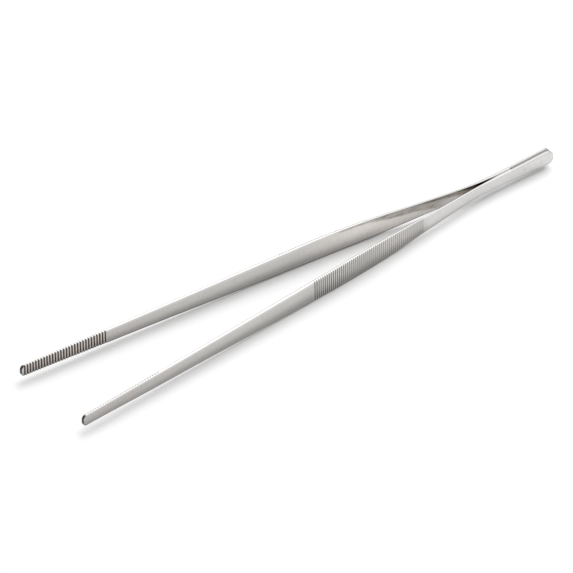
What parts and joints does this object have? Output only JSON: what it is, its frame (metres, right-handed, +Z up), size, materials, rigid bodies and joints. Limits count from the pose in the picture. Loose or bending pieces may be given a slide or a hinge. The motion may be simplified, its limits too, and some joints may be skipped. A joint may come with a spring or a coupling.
{
  "type": "cooking tweezers",
  "caption": "Long straight kitchen tweezers: sprung steel leaves joined at the butt, with ribbed finger grips and serrated jaws, for turning and plating food.",
  "frame": {"origin": "under the middle of the whole, on the surface that the tweezers lie on, on their side", "axes": "-X towards the tips and +X towards the joined butt, +Y towards the right leaf and -Y towards the left leaf, +Z up across the width of the leaves"},
  "size_m": [0.3, 0.0498, 0.0117],
  "materials": {
    "leaf_steel": "satin, brushed across the leaf, with brighter rounded edges",
    "spacer_steel": "dull rolled steel",
    "weld_steel": "fused steel, inside the butt"
  },
  "bodies": {
    "butt": {"left_leaf_root": "leaf_steel", "right_leaf_root": "leaf_steel", "butt_spacer": "spacer_steel", "spot_welds": "weld_steel"},
    "left_arm": {"left_leaf_arm": "leaf_steel", "left_leaf_jaw": "leaf_steel"},
    "right_arm": {"right_leaf_arm": "leaf_steel", "right_leaf_jaw": "leaf_steel"}
  },
  "joints": [
    {"name": "left_leaf_flex", "type": "hinge", "parent": "butt", "child": "left_arm", "pos_m": [0.07806, -0.00444, 0.00585], "axis": [0, 0, -1], "range_deg": [-2, 5.86], "stiffness_Nm_per_rad": 3},
    {"name": "right_leaf_flex", "type": "hinge", "parent": "butt", "child": "right_arm", "pos_m": [0.07806, 0.00444, 0.00585], "axis": [0, 0, 1], "range_deg": [-2, 5.86], "stiffness_Nm_per_rad": 3}
  ]
}
